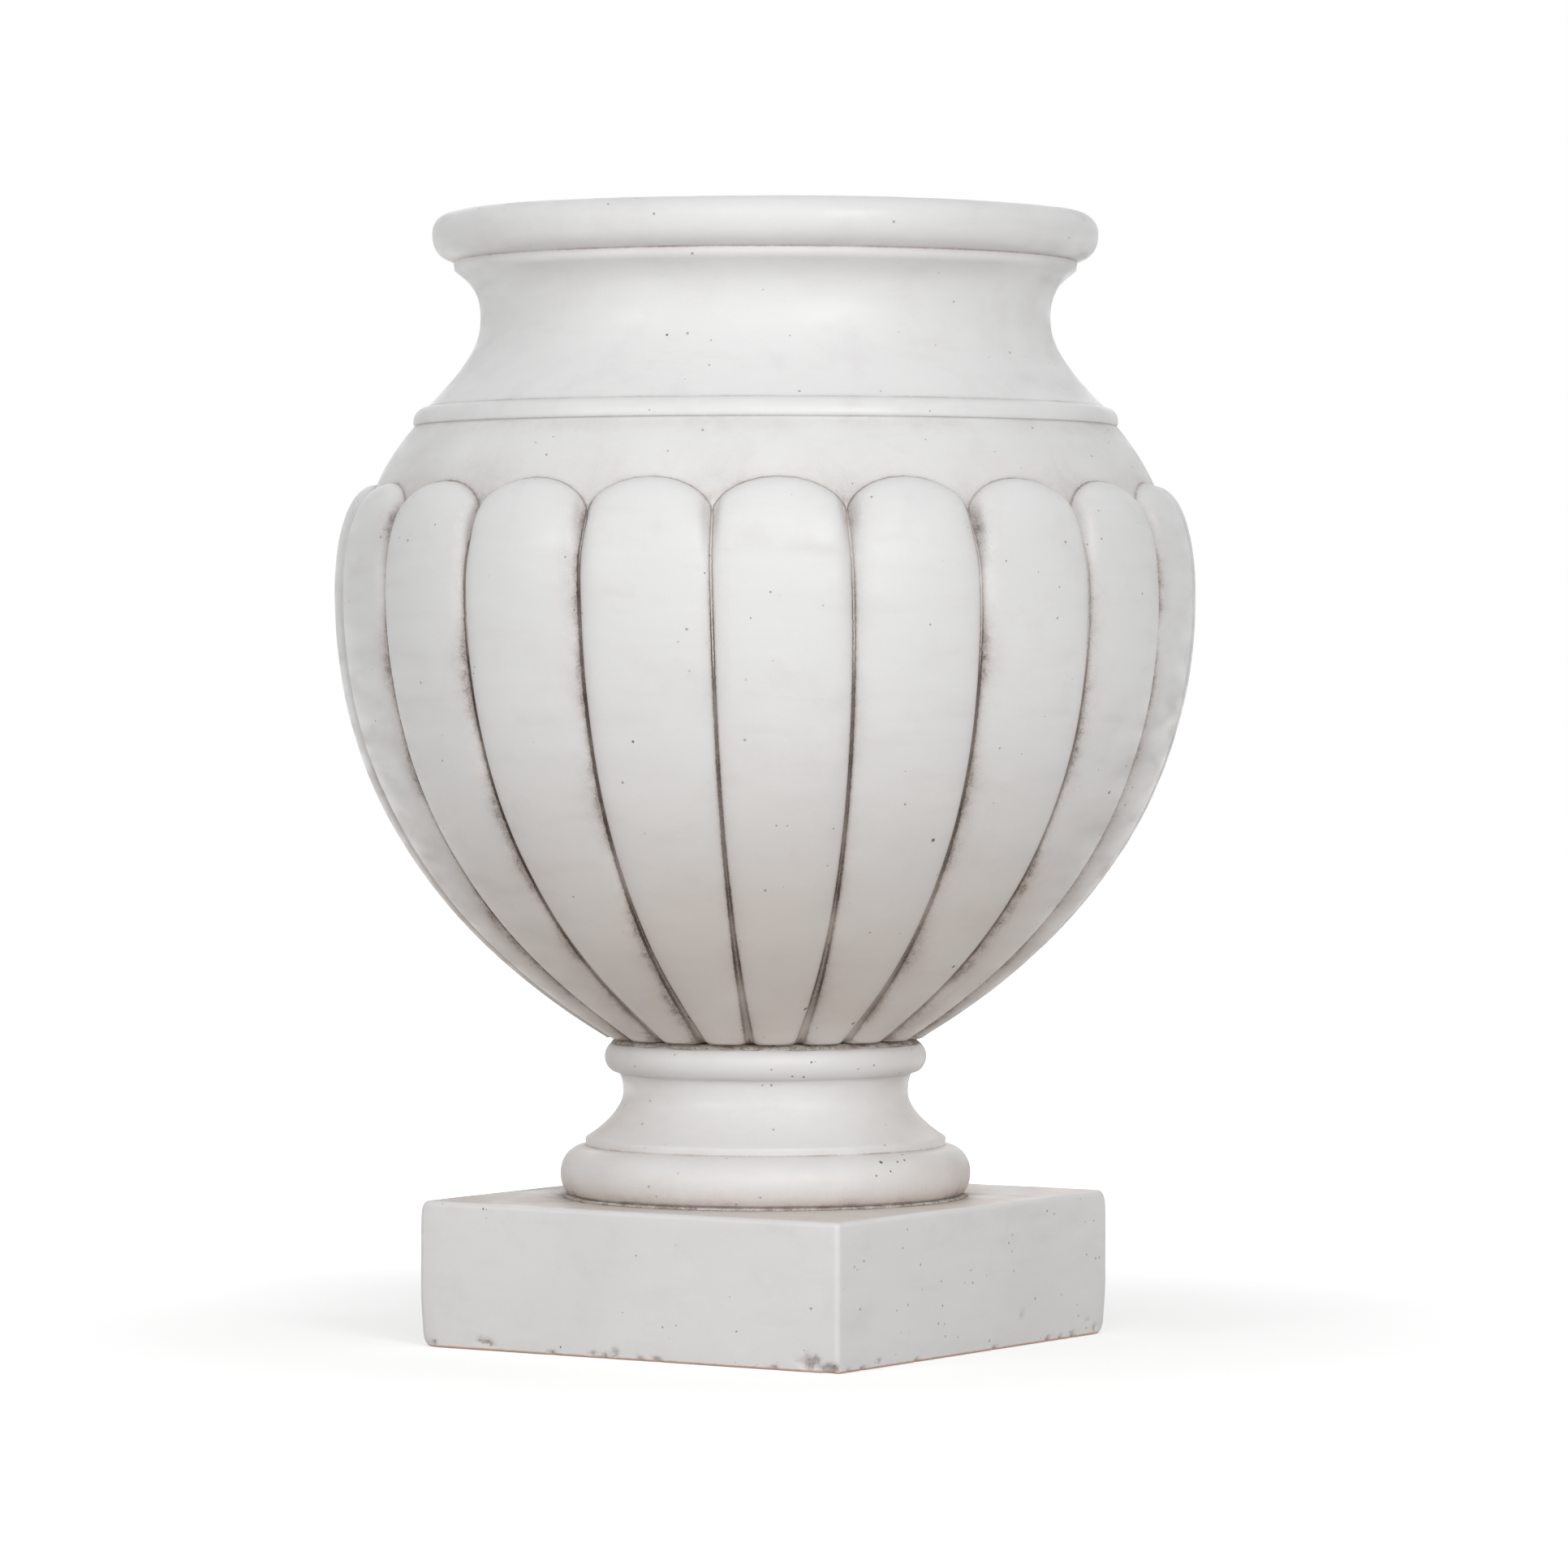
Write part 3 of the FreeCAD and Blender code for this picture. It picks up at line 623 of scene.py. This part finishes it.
def make_bed(name, low, high, outer, skirt, rough, seed):
    """Bed of mortar between two castings. Its ragged edge is squeezed out over the lower one."""
    columns = 360
    angle = TAU * np.arange(columns) / columns
    ring = around(outer, 0.5 * (low + high), angle)
    ragged = rough * waves(ring, 14.0, seed) + 0.5 * rough * waves(ring, 5.0, seed + 1)
    ragged = np.clip(ragged, -1.4 * rough, 1.4 * rough)
    middle = 0.5 * (BED_BORE + outer)
    rows = [(BED_BORE, low), (middle, low), (outer, low)]
    rows += [(outer + r + ragged, low + z) for r, z in skirt]
    rows += [(outer - 1.2, high), (middle, high), (BED_BORE, high)]
    return closed_grid(name, np.array([around(r, z, angle) for r, z in rows]), {})


# ---------------------------------------------------------------- materials

WHITE = (1.0, 1.0, 1.0, 1.0)


def linear(red, green, blue):
    """Colour as seen in a picture, 0 to 255, as the shader's own numbers."""
    values = []
    for part in (red, green, blue):
        part = part / 255.0
        values.append(part / 12.92 if part <= 0.04045 else ((part + 0.055) / 1.055) ** 2.4)
    return (*values, 1.0)


class Paint:
    """Shorthand for building a material's nodes."""

    def __init__(self, name):
        self.material = bpy.data.materials.new(name)
        self.material.use_nodes = True
        self.tree = self.material.node_tree
        self.tree.nodes.clear()
        self.out = self.tree.nodes.new("ShaderNodeOutputMaterial")
        self.shader = self.tree.nodes.new("ShaderNodeBsdfPrincipled")
        self.tree.links.new(self.shader.outputs[0], self.out.inputs[0])
        self.where = self.tree.nodes.new("ShaderNodeTexCoord").outputs["Object"]

    def feed(self, socket, value):
        if isinstance(value, bpy.types.NodeSocket):
            self.tree.links.new(value, socket)
        else:
            socket.default_value = value

    def node(self, kind, **inputs):
        made = self.tree.nodes.new(kind)
        for name, value in inputs.items():
            self.feed(made.inputs[name], value)
        return made

    def math(self, operation, a, b):
        made = self.tree.nodes.new("ShaderNodeMath")
        made.operation = operation
        self.feed(made.inputs[0], a)
        self.feed(made.inputs[1], b)
        return made.outputs[0]

    def times(self, total, *others):
        for other in others:
            total = self.math("MULTIPLY", total, other)
        return total

    def plus(self, total, *others):
        for other in others:
            total = self.math("ADD", total, other)
        return total

    def ramp(self, value, low, high, bottom=0.0, top=1.0):
        """Carries value from low..high to bottom..top along an S, with its ends held."""
        made = self.tree.nodes.new("ShaderNodeMapRange")
        made.interpolation_type = "SMOOTHSTEP"
        made.clamp = True
        for socket, number in zip(made.inputs, (value, low, high, bottom, top)):
            self.feed(socket, number)
        return made.outputs[0]

    def mix(self, share, a, b, blend="MIX"):
        made = self.tree.nodes.new("ShaderNodeMix")
        made.data_type = "RGBA"
        made.blend_type = blend
        made.clamp_factor = True
        # Sockets 6 and 7 and output 2 are the node's colours.
        self.feed(made.inputs[0], share)
        self.feed(made.inputs[6], a)
        self.feed(made.inputs[7], b)
        return made.outputs[2]

    def flattened(self, scale):
        """The object's own coordinates, in which patterns come out that much lower."""
        made = self.node("ShaderNodeMapping", Vector=self.where, Scale=(1.0, 1.0, scale))
        return made.outputs[0]

    def noise(self, scale, detail, rough, warp=0.0, vector=None):
        made = self.node("ShaderNodeTexNoise", Scale=scale, Detail=detail, Roughness=rough,
                         Distortion=warp, Vector=self.where if vector is None else vector)
        return made.outputs[0]

    def pits(self, scale):
        """Distance from scattered points, and two random numbers for each point's cell."""
        made = self.node("ShaderNodeTexVoronoi", Vector=self.where, Scale=scale)
        chance = self.node("ShaderNodeSeparateColor", Color=made.outputs["Color"])
        return made.outputs["Distance"], chance.outputs[0], chance.outputs[1]

    def field(self, name):
        made = self.tree.nodes.new("ShaderNodeAttribute")
        made.attribute_name = name
        return made.outputs["Fac"]

    def bump(self, height, strength, distance, under=None):
        made = self.node("ShaderNodeBump", Strength=strength, Distance=distance, Height=height)
        if under is not None:
            self.feed(made.inputs["Normal"], under)
        return made.outputs[0]


def cast_stone():
    p = Paint("cast_stone")
    line, channel, dark, foul_and_shade, warm, grime_and_shade, ridge, tan_and_shade, pocks, raw = (p.field(name) for name in MASKS)

    # Skin of the casting: broad clouds, faint brush marks that run round it, and fine tooth.
    broad = p.noise(6.0, 2.0, 0.5, 0.3)
    clouds = p.noise(28.0, 4.0, 0.6)
    brush = p.noise(20.0, 4.0, 0.6, 0.2, p.flattened(4.0))
    tooth = p.noise(950.0, 2.0, 0.6)
    skin = p.mix(p.ramp(broad, 0.35, 0.65), linear(230, 230, 230), linear(234, 234, 234))
    for pattern, low, high, share, colour in (
            (clouds, 0.50, 0.74, 0.45, (224, 222, 222)), (brush, 0.52, 0.74, 0.20, (220, 217, 216)),
            (brush, 0.48, 0.28, 0.18, (240, 240, 240)), (tooth, 0.55, 0.80, 0.22, (214, 212, 211))):
        skin = p.mix(p.times(p.ramp(pattern, low, high), share), skin, linear(*colour))
    # Tan, partly painted warm shade and bounce, warms and darkens the skin.
    skin = p.mix(tan_and_shade, skin, p.mix(1.0, skin, linear(251, 241, 234), "MULTIPLY"))

    # Old wash and painted shade: soft smudges first.
    ragged = p.times(p.math("SUBTRACT", p.noise(300.0, 3.0, 0.65), 0.5), 1.5)
    broken = p.ramp(p.noise(42.0, 3.0, 0.6), 0.32, 0.60, 0.45, 1.0)
    stipple = p.ramp(p.noise(1250.0, 2.0, 0.6), 0.38, 0.62)
    tint = p.mix(warm, linear(152, 145, 141), linear(198, 184, 177))
    blotch = p.ramp(p.noise(130.0, 6.0, 0.72), 0.30, 0.70, 0.55, 1.0)
    smudge_and_shade = p.times(grime_and_shade, blotch, p.ramp(stipple, 0.0, 1.0, 0.75, 1.0))
    skin = p.mix(smudge_and_shade, skin, p.mix(p.ramp(smudge_and_shade, 0.35, 0.95), tint, linear(118, 106, 98)))

    # Then what filled the creases, with a soft halo beside them that is painted shade as well as wash.
    from_line = p.plus(line, ragged)
    halo = p.times(p.ramp(from_line, 3.2, 0.3), dark, 0.28)
    core = p.times(p.ramp(from_line, 0.95, 0.25), dark, broken)
    skin = p.mix(halo, skin, tint)
    skin = p.mix(core, skin, p.mix(warm, linear(116, 110, 107), linear(142, 116, 102)))

    # Then the grooves: their walls, their floors beside the flash, and the dark floor edges, as strong
    # as the groove share, which carries painted shade as well as wash.
    from_floor = p.plus(channel, p.times(ragged, 0.8))
    wall = p.times(p.ramp(from_floor, 2.2, 0.0), foul_and_shade, 0.50)
    skin = p.mix(wall, skin, linear(180, 162, 152))
    clear = p.ramp(p.times(ridge, p.ramp(from_floor, -0.25, -0.55)), 0.1, 0.6, 1.0, 0.05)
    floor = p.times(p.ramp(from_floor, 0.6, 0.0), foul_and_shade, clear)
    skin = p.mix(floor, skin, p.mix(stipple, linear(112, 100, 92), linear(172, 160, 151)))
    edge = p.times(p.ramp(from_floor, 0.55, 0.15), p.ramp(from_floor, -1.7, -0.5), foul_and_shade, clear, broken)
    soot = p.mix(p.ramp(foul_and_shade, 0.3, 0.9), linear(134, 119, 111), linear(66, 54, 48))
    skin = p.mix(p.times(edge, 0.92), skin, soot)

    # Air pits left by the casting, the larger ones with dirt in them.
    near, chance, grade = p.pits(88.0)
    wide = p.plus(p.times(p.math("POWER", grade, 3.0), 0.08), 0.03, p.times(pocks, 0.045),
                  p.times(ragged, 0.05))
    chosen = p.ramp(p.plus(chance, p.times(pocks, 0.35)), 0.965, 0.97)
    hole = p.times(p.ramp(p.math("SUBTRACT", near, wide), 0.010, -0.02), chosen)
    near, chance, grade = p.pits(210.0)
    near = p.plus(near, p.times(ragged, 0.08))
    pocked = p.math("POWER", pocks, 4.0)
    cluster = p.times(p.ramp(p.noise(15.0, 2.0, 0.5), 0.50, 0.66), 0.075)
    chosen = p.ramp(p.plus(chance, cluster, p.times(pocked, 0.8)), 0.970, 0.980)
    wide = p.times(grade, p.plus(p.times(pocked, 0.12), 0.10))
    fine = p.times(p.ramp(p.math("SUBTRACT", near, wide), 0.10, 0.04), chosen)
    skin = p.mix(p.times(hole, 0.85), skin, linear(86, 76, 69))
    skin = p.mix(p.times(fine, p.ramp(pocked, 0.0, 0.6, 0.55, 0.95)), skin, linear(118, 108, 101))

    # A pinkish band along the foot of the plinth, painted reflection of a warm floor, and bare concrete
    # inside.
    height = p.node("ShaderNodeSeparateXYZ", Vector=p.where).outputs[2]
    floor_reflection = p.ramp(p.plus(height, p.times(ragged, 0.0008)), 0.0019, 0.0008)
    skin = p.mix(p.times(floor_reflection, 0.85), skin, linear(206, 160, 136))
    cloudy = p.ramp(p.noise(40.0, 5.0, 0.65), 0.35, 0.7)
    bare = p.mix(cloudy, linear(196, 192, 186), linear(172, 167, 160))
    p.feed(p.shader.inputs["Base Color"], p.mix(raw, skin, bare))

    dull = p.math("MAXIMUM", p.times(floor, 0.9), p.times(smudge_and_shade, 0.8))
    rough = p.ramp(p.plus(brush, p.times(dull, 0.6)), 0.3, 0.95, 0.35, 0.74)
    p.feed(p.shader.inputs["Roughness"], p.math("MAXIMUM", rough, p.times(raw, 0.9)))

    specks = p.math("MAXIMUM", hole, p.times(fine, 0.6))
    relief = p.bump(brush, 0.12, 0.0005)
    relief = p.bump(tooth, 0.08, 0.0002, relief)
    relief = p.bump(p.times(dull, stipple), 0.35, 0.0005, relief)
    relief = p.bump(p.times(specks, -1.0), 0.8, 0.0012, relief)
    relief = p.bump(p.times(raw, p.noise(160.0, 4.0, 0.7)), 0.6, 0.0015, relief)
    p.feed(p.shader.inputs["Normal"], relief)
    return p.material


def mortar():
    p = Paint("bedding_mortar")
    tone = p.ramp(p.noise(110.0, 5.0, 0.7), 0.34, 0.62)
    speck = p.ramp(p.noise(620.0, 3.0, 0.6), 0.56, 0.66)
    skin = p.mix(tone, linear(150, 138, 129), linear(205, 199, 194))
    p.feed(p.shader.inputs["Base Color"], p.mix(p.times(speck, 0.75), skin, linear(92, 80, 72)))
    p.shader.inputs["Roughness"].default_value = 0.9
    p.feed(p.shader.inputs["Normal"], p.bump(p.noise(420.0, 4.0, 0.7), 0.6, 0.001))
    return p.material


def steel():
    p = Paint("stainless_steel")
    grain = p.noise(60.0, 4.0, 0.6, 0.0, p.flattened(22.0))
    p.feed(p.shader.inputs["Base Color"], p.mix(grain, linear(176, 177, 178), linear(206, 207, 208)))
    p.shader.inputs["Metallic"].default_value = 1.0
    p.feed(p.shader.inputs["Roughness"], p.ramp(grain, 0.3, 0.7, 0.24, 0.40))
    p.feed(p.shader.inputs["Normal"], p.bump(grain, 0.12, 0.0002))
    return p.material


def rubber(name, colour):
    p = Paint(name)
    dust = p.ramp(p.noise(90.0, 4.0, 0.6), 0.5, 0.75, 0.0, 0.35)
    p.feed(p.shader.inputs["Base Color"], p.mix(dust, linear(*colour), linear(120, 116, 112)))
    p.shader.inputs["Roughness"].default_value = 0.62
    p.feed(p.shader.inputs["Normal"], p.bump(p.noise(700.0, 2.0, 0.5), 0.15, 0.0002))
    return p.material


# ---------------------------------------------------------------- the object

stone = cast_stone()
bed_mortar = mortar()
metal = steel()
seal = rubber("seal_rubber", (44, 44, 46))
stopper = rubber("plug_rubber", (58, 56, 55))

for build, node in ((make_bowl, "bowl"), (make_socle, "socle"), (make_plinth, "plinth")):
    casting = build()
    casting.data.materials.append(stone)
    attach(casting, "urn")
    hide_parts(node)

# What is squeezed out of each joint: steps outwards from the bed and up from its underside.
UPPER_SKIRT = ((2.6, -0.75), (4.6, -1.7), (5.2, -1.95), (4.9, -1.3), (4.0, -0.45), (2.9, 0.45),
               (1.8, 1.1))
LOWER_SKIRT = ((1.6, 0.0), (2.4, 0.1), (2.1, 0.6), (1.4, 1.1), (0.8, 1.4))
for name, low, high, outer, skirt, rough, seed in (
        ("bowl_bedding_ring", SOCLE_TOP, BOWL_BOTTOM, 88.5, UPPER_SKIRT, 0.45, 51),
        ("socle_bedding_ring", PLINTH_TOP, SOCLE_BOTTOM, 120.6, LOWER_SKIRT, 0.6, 61)):
    bed = make_bed(name + "_mortar", low, high, outer, skirt, rough, seed)
    bed.data.materials.append(bed_mortar)
    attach(bed, "urn")
    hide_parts(name)

for node, material in (("bowl_dowels", metal), ("socle_dowels", metal), ("drain_tie_tube", metal),
                       ("plinth_washer", metal), ("tie_nut", metal), ("jam_nut", metal),
                       ("flange_gasket", seal), ("plinth_seal_washer", seal),
                       ("drain_plug", stopper)):
    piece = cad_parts[node]
    piece.data.materials.clear()
    piece.data.materials.append(material)


# ---------------------------------------------------------------- floor and background

def seen(tree):
    """1 for the rays that see the surroundings as such, 0 for those that only carry their light."""
    path = tree.nodes.new("ShaderNodeLightPath")
    found = path.outputs["Is Camera Ray"]
    for kind in ("Is Glossy Ray", "Is Transmission Ray"):
        more = tree.nodes.new("ShaderNodeMath")
        more.operation = "MAXIMUM"
        tree.links.new(found, more.inputs[0])
        tree.links.new(path.outputs[kind], more.inputs[1])
        found = more.outputs[0]
    return found


def join(tree, kind, *sources):
    """Node of that kind with these sources in its sockets, in order."""
    made = tree.nodes.new(kind)
    for socket, source in zip(made.inputs, sources):
        tree.links.new(source, socket)
    return made.outputs[0]


def floor_paint():
    """White to look at, with a soft shadow under the object, and a dimmer floor to be lit from."""
    p = Paint("floor")
    p.tree.nodes.remove(p.shader)
    dimmer = p.node("ShaderNodeBsdfDiffuse", Color=(0.50, 0.485, 0.47, 1.0)).outputs[0]
    pale = p.node("ShaderNodeBsdfDiffuse", Color=(0.80, 0.80, 0.80, 1.0)).outputs[0]
    spread = p.tree.nodes.new("ShaderNodeVectorMath")
    spread.operation = "LENGTH"
    p.feed(spread.inputs[0], p.where)
    fade = p.ramp(spread.outputs["Value"], 0.25, 1.2, 0.42, 1.0)
    glow = p.node("ShaderNodeEmission", Color=WHITE, Strength=fade).outputs[0]
    white = join(p.tree, "ShaderNodeAddShader", pale, glow)
    p.feed(p.out.inputs[0], join(p.tree, "ShaderNodeMixShader", seen(p.tree), dimmer, white))
    return p.material


def studio_world():
    """Even soft light from all round, before a white background."""
    world = bpy.data.worlds.new("studio")
    world.use_nodes = True
    tree = world.node_tree
    tree.nodes.clear()
    out = tree.nodes.new("ShaderNodeOutputWorld")
    skies = []
    for strength in (0.45, 1.0):
        sky = tree.nodes.new("ShaderNodeBackground")
        sky.inputs["Color"].default_value = WHITE
        sky.inputs["Strength"].default_value = strength
        skies.append(sky.outputs[0])
    tree.links.new(join(tree, "ShaderNodeMixShader", seen(tree), *skies), out.inputs[0])
    return world


floor_mesh = bpy.data.meshes.new("floor")
floor_mesh.from_pydata([(-9, -9, 0), (9, -9, 0), (9, 9, 0), (-9, 9, 0)], [], [(0, 1, 2, 3)])
floor = bpy.data.objects.new("floor", floor_mesh)
bpy.context.scene.collection.objects.link(floor)
floor_mesh.materials.append(floor_paint())
bpy.context.scene.world = studio_world()


# ---------------------------------------------------------------- lamps and camera

LAMP_DISTANCE = 3.6
LAMP_TARGET = np.array([0.0, 0.0, 0.35])


def lamp(name, azimuth, elevation, size, power):
    """Square area light. Azimuth is counted from the -Y side towards +X."""
    data = bpy.data.lights.new(name, "AREA")
    data.shape = "SQUARE"
    data.size = size
    data.energy = power
    obj = bpy.data.objects.new(name, data)
    bpy.context.scene.collection.objects.link(obj)
    a, e = math.radians(azimuth), math.radians(elevation)
    away = np.array([math.cos(e) * math.sin(a), -math.cos(e) * math.cos(a), math.sin(e)])
    obj.location = LAMP_TARGET + LAMP_DISTANCE * away
    obj.rotation_euler = (math.pi / 2.0 - e, 0.0, a)


lamp("left_box", -15.0, 18.0, 1.0, 18.0)
lamp("front_box", 33.0, 18.0, 2.8, 32.0)
lamp("right_box", 60.0, 18.0, 1.0, 30.0)
lamp("back_box", 213.0, 12.0, 2.4, 12.0)

# The camera looks a little down, past the axis by a fraction of a degree.
TILT_DOWN = 1.108
TURN_TO_AXIS = 33.69
TURN_ASIDE = 0.150
camera_data = bpy.data.cameras.new("camera")
camera_data.sensor_fit = "HORIZONTAL"
camera_data.sensor_width = 36.0
camera_data.lens = 162.894
camera_data.clip_end = 50.0
camera = bpy.data.objects.new("camera", camera_data)
bpy.context.scene.collection.objects.link(camera)
camera.location = (2.4003, -3.6005, 0.4229)
camera.rotation_euler = (math.radians(90.0 - TILT_DOWN), 0.0, math.radians(TURN_TO_AXIS - TURN_ASIDE))
bpy.context.scene.camera = camera
bpy.context.scene.view_settings.view_transform = "Standard"
